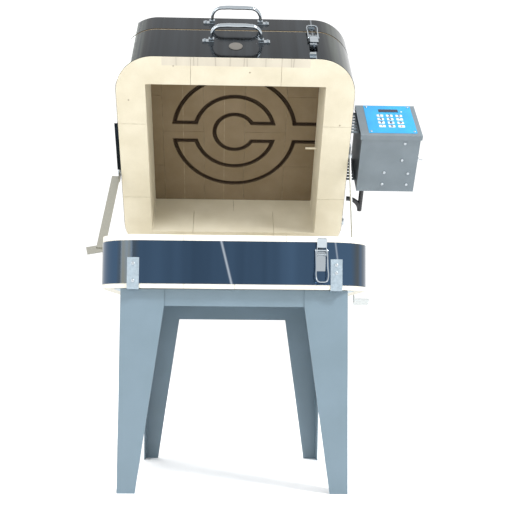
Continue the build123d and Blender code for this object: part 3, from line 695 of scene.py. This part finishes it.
marks = {"keyFigures": [], "keyMark": []}
for number, figure in enumerate(pad["figures"]):
    x = pad["firstX"] + pad["stepX"] * (number % 3)
    z = pad["firstZ"] - pad["stepZ"] * (number // 3)
    at = Vector((x, kiln["overlayFace"] - pad["proud"], z)) / 1000
    useOnly(None)
    if figure:
        bpy.ops.object.text_add()
        text = bpy.context.object
        text.data.body = figure
        text.data.size = pad["figureSize"] / 1000
        text.data.align_x = "CENTER"
        text.data.align_y = "CENTER"
        text.data.extrude = 0.00005
        text.data.offset = 0.0006
        bpy.ops.object.convert(target="MESH")
    else:
        sides = 3 if number == 9 else 4
        bpy.ops.mesh.primitive_circle_add(vertices=sides, radius=0.0035, fill_type="NGON")
        bpy.ops.object.mode_set(mode="EDIT")
        bpy.ops.mesh.select_all(action="SELECT")
        bpy.ops.mesh.extrude_region_move(TRANSFORM_OT_translate={"value": (0, 0, 0.00008)})
        bpy.ops.object.mode_set(mode="OBJECT")
    mark = newPiece("figure")
    settle(mark, opening @ Matrix.Translation(at) @ Matrix.Rotation(math.radians(90), 4, "X"))
    marks["keyMark" if number == 11 else "keyFigures"].append(mark)
for name, group in marks.items():
    piece = joinPieces(group, name)
    finishPiece(piece, "figureRed" if name == "keyMark" else "figureInk", "ring", "electrics")

# Indicator lamp beside the display
lamp = {"at": (459, 704), "radius": 2.6}
useOnly(None)
bpy.ops.mesh.primitive_cylinder_add(vertices=24, radius=lamp["radius"] / 1000, depth=0.0006)
lampPiece = newPiece("panelLamp")
pick(lampPiece, "FACE", lambda c, n: n.z > 0.9)
bpy.ops.mesh.bevel(offset=0.0004, segments=3, affect="EDGES")
lampAt = Matrix.Translation(Vector((lamp["at"][0], kiln["overlayFace"] - 0.3, lamp["at"][1])) / 1000)
settle(lampPiece, opening @ lampAt @ Matrix.Rotation(math.radians(90), 4, "X"))
finishPiece(lampPiece, "keyWhite", "ring", "keys")
print("keypad made")

# Resistance wire, wound and laid along the groove
element = {"rings": (56.7, 112.3, 171.6), "link": 29.0, "lead": 254.0, "up": 6.5, "wind": 3.3, "wire": 0.6,
           "pitch": 4.6, "turnPoints": 9, "tail": 2.2}


def elementPath():
    inner, middle, outer = element["rings"]
    link = element["link"]
    points = []

    def arc(radius, start, end):
        steps = max(8, int(abs(end - start) * radius / 4))
        for step in range(steps + 1):
            angle = start + (end - start) * step / steps
            points.append(Vector((radius * math.cos(angle), radius * math.sin(angle), 0)))

    def gap(radius):
        return math.asin(link / radius)

    points.append(Vector((element["lead"], link, 0)))
    arc(outer, gap(outer), math.pi - gap(outer))
    arc(middle, math.pi - gap(middle), gap(middle))
    arc(inner, gap(inner), 2 * math.pi - gap(inner))
    arc(middle, -gap(middle), -math.pi + gap(middle))
    arc(outer, -math.pi + gap(outer), -gap(outer))
    points.append(Vector((element["lead"], -link, 0)))
    return points


def evenly(points, step):
    out = [points[0]]
    rest = 0.0
    for first, second in zip(points[:-1], points[1:]):
        run = (second - first).length
        at = step - rest
        while at <= run:
            out.append(first.lerp(second, at / run))
            at += step
        rest = run - (at - step)
    return out


line = evenly(elementPath(), element["pitch"] / element["turnPoints"])
for _ in range(12):
    line = [line[0]] + [(a + b + c) / 3 for a, b, c in zip(line[:-2], line[1:-1], line[2:])] + [line[-1]]
coilHeight = kiln["lidLow"] + element["up"]
winding = []
for number in range(1, len(line) - 1):
    ahead = (line[number + 1] - line[number - 1]).normalized()
    across = Vector((-ahead.y, ahead.x, 0))
    angle = 2 * math.pi * number / element["turnPoints"]
    offset = across * math.cos(angle) + Vector((0, 0, 1)) * math.sin(angle)
    spot = line[number] + offset * element["wind"]
    winding.append(Vector((spot.x, spot.y, spot.z + coilHeight)) / 1000)
useOnly(None)
bpy.ops.curve.primitive_nurbs_path_add()
coil = newPiece("elementWinding")
coil.data.splines.clear()
strand = coil.data.splines.new("POLY")
strand.points.add(len(winding) - 1)
for point, spot in zip(strand.points, winding):
    point.co = (*spot, 1.0)
coil.data.bevel_depth = element["wire"] / 1000
coil.data.bevel_resolution = 0
bpy.ops.object.convert(target="MESH")
coil = newPiece("elementWinding")
tails = [coil]
for way in (-1, 1):
    low = coilHeight
    high = kiln["lidHigh"] + 12
    useOnly(None)
    foot = (element["lead"] / 1000, way * element["link"] / 1000, (high + low) / 2000)
    bpy.ops.mesh.primitive_cylinder_add(vertices=14, radius=element["tail"] / 1000,
                                        depth=(high - low) / 1000, location=foot)
    tail = newPiece("elementTail")
    bpy.ops.object.transform_apply(location=True, rotation=True, scale=True)
    roundEdges(tail, 0.0005, 50)
    tails.append(tail)
coil = joinPieces(tails, "elementWinding")
settle(coil, opening)
finishPiece(coil, "elementWire", "lid", "element_wire", "element_coil", angle=60)
print("element wound,", len(winding), "points")

# Ribbed jacket on the conduit behind the control box
hose = {"x": 360, "z": 620, "startY": 103, "cornerY": 222, "bend": 40.5, "radius": 7.0,
        "rib": 0.9, "step": 2.2}
useOnly(None)
bpy.ops.mesh.primitive_circle_add(vertices=20, radius=hose["radius"] / 1000,
                                  rotation=(math.radians(90), 0, 0),
                                  location=(hose["x"] / 1000, hose["startY"] / 1000, hose["z"] / 1000))
jacket = newPiece("conduitJacket")
bpy.ops.object.transform_apply(location=True, rotation=True, scale=True)
bpy.ops.object.mode_set(mode="EDIT")
bpy.ops.mesh.select_all(action="SELECT")
straight = hose["cornerY"] - hose["bend"] - hose["startY"]
runs = 2 * round(straight / hose["step"] / 2)
for _ in range(runs):
    bpy.ops.mesh.extrude_edges_move(TRANSFORM_OT_translate={"value": (0, straight / runs / 1000, 0)})
bends = 2 * round(hose["bend"] * math.pi / 2 / hose["step"] / 2)
bendX = hose["x"] - hose["bend"]
bendY = hose["cornerY"] - hose["bend"]
turnCentre = (bendX / 1000, bendY / 1000, hose["z"] / 1000)
bpy.ops.mesh.spin(steps=bends, angle=math.radians(-90), center=turnCentre, axis=(0, 0, -1))
bpy.ops.object.mode_set(mode="OBJECT")
closePiece(jacket)

# every other ring of the jacket stands proud
for vertex in jacket.data.vertices:
    x, y, z = vertex.co * 1000
    if y <= bendY + 1e-3 and x > bendX + 1e-3 and abs(x - hose["x"]) < hose["radius"] + 0.1:
        along = (y - hose["startY"]) / (straight / runs)
        middle = Vector((hose["x"], y, hose["z"]))
    else:
        angle = math.atan2(y - bendY, x - bendX)
        along = runs + angle / (math.pi / 2 / bends)
        across = (bendX + hose["bend"] * math.cos(angle), bendY + hose["bend"] * math.sin(angle))
        middle = Vector((*across, hose["z"]))
    if round(along) % 2:
        spot = vertex.co * 1000
        vertex.co = (middle + (spot - middle) * (1 - hose["rib"] / hose["radius"])) / 1000
applyModifier(jacket, "SUBSURF", levels=1, render_levels=1)
settle(jacket, opening)
finishPiece(jacket, "conduitBlack", "ring", "black_conduit", "conduit", angle=50)
print("conduit made")

# Studio: pale floor, white world, and soft light from the upper right with fill and rear lamps
studio = {"floor": 14.0, "floorColour": "ffffff", "back": (1.0, 1.0, 1.0), "backStrength": 1.15,
          "key": {"at": (2.3, -2.6, 3.4), "size": 0.9, "power": 150, "to": (0, -0.1, 0.6)},
          "fill": {"at": (-3.2, -3.0, 1.6), "size": 2.4, "power": 45, "to": (0, 0, 0.7)},
          "rear": {"at": (-1.4, 3.0, 2.6), "size": 2.0, "power": 60, "to": (0, 0, 0.8)}}
useOnly(None)
bpy.ops.mesh.primitive_plane_add(size=studio["floor"])
floor = newPiece("studioFloor")
bpy.ops.object.mode_set(mode="EDIT")
bpy.ops.mesh.subdivide(number_cuts=4)
bpy.ops.object.mode_set(mode="OBJECT")
work = Finish("studioFloor", rgb(studio["floorColour"]), 0.9)
floor.data.materials.append(work.material)

world = bpy.data.worlds.new("studio")
bpy.context.scene.world = world
world.use_nodes = True
sky = world.node_tree.nodes["Background"]
sky.inputs["Color"].default_value = (*studio["back"], 1.0)
sky.inputs["Strength"].default_value = studio["backStrength"]

for name in ("key", "fill", "rear"):
    lampLook = studio[name]
    light = bpy.data.lights.new(name + "Light", "AREA")
    light.shape = "SQUARE"
    light.size = lampLook["size"]
    light.energy = lampLook["power"]
    holder = bpy.data.objects.new(name + "Light", light)
    bpy.context.scene.collection.objects.link(holder)
    holder.location = lampLook["at"]
    aim = Vector(lampLook["to"]) - Vector(lampLook["at"])
    holder.rotation_euler = aim.to_track_quat("-Z", "Y").to_euler()

# Camera, fitted to the photograph before the kiln was moved to the middle of its box
view = {"at": (-20.117, -2394.886, 366.754), "pitch": 0.0747, "yaw": 0.03213, "roll": -0.0088,
        "focal": 936.05, "middleY": 258.08, "frame": 512}
pitch, yaw, roll = view["pitch"], view["yaw"], view["roll"]
forward = Vector((math.sin(yaw) * math.cos(pitch), math.cos(yaw) * math.cos(pitch), math.sin(pitch)))
rightOf = Vector((math.cos(yaw), -math.sin(yaw), 0))
upOf = Vector((-math.sin(yaw) * math.sin(pitch), -math.cos(yaw) * math.sin(pitch), math.cos(pitch)))
rightAxis = rightOf * math.cos(roll) - upOf * math.sin(roll)
upAxis = rightOf * math.sin(roll) + upOf * math.cos(roll)
turn = Matrix((rightAxis, upAxis, -forward)).transposed().to_4x4()
lens = bpy.data.cameras.new("studioCamera")
lens.sensor_width = 36
lens.sensor_fit = "HORIZONTAL"
lens.lens = 36 * view["focal"] / view["frame"]
lens.shift_y = (view["middleY"] - view["frame"] / 2) / view["frame"]
lens.clip_end = 100
camera = bpy.data.objects.new("studioCamera", lens)
bpy.context.scene.collection.objects.link(camera)
camera.matrix_world = Matrix.Translation(level @ (Vector(view["at"]) / 1000)) @ turn
bpy.context.scene.camera = camera
bpy.context.scene.view_settings.view_transform = "Standard"
bpy.context.scene.view_settings.look = "None"
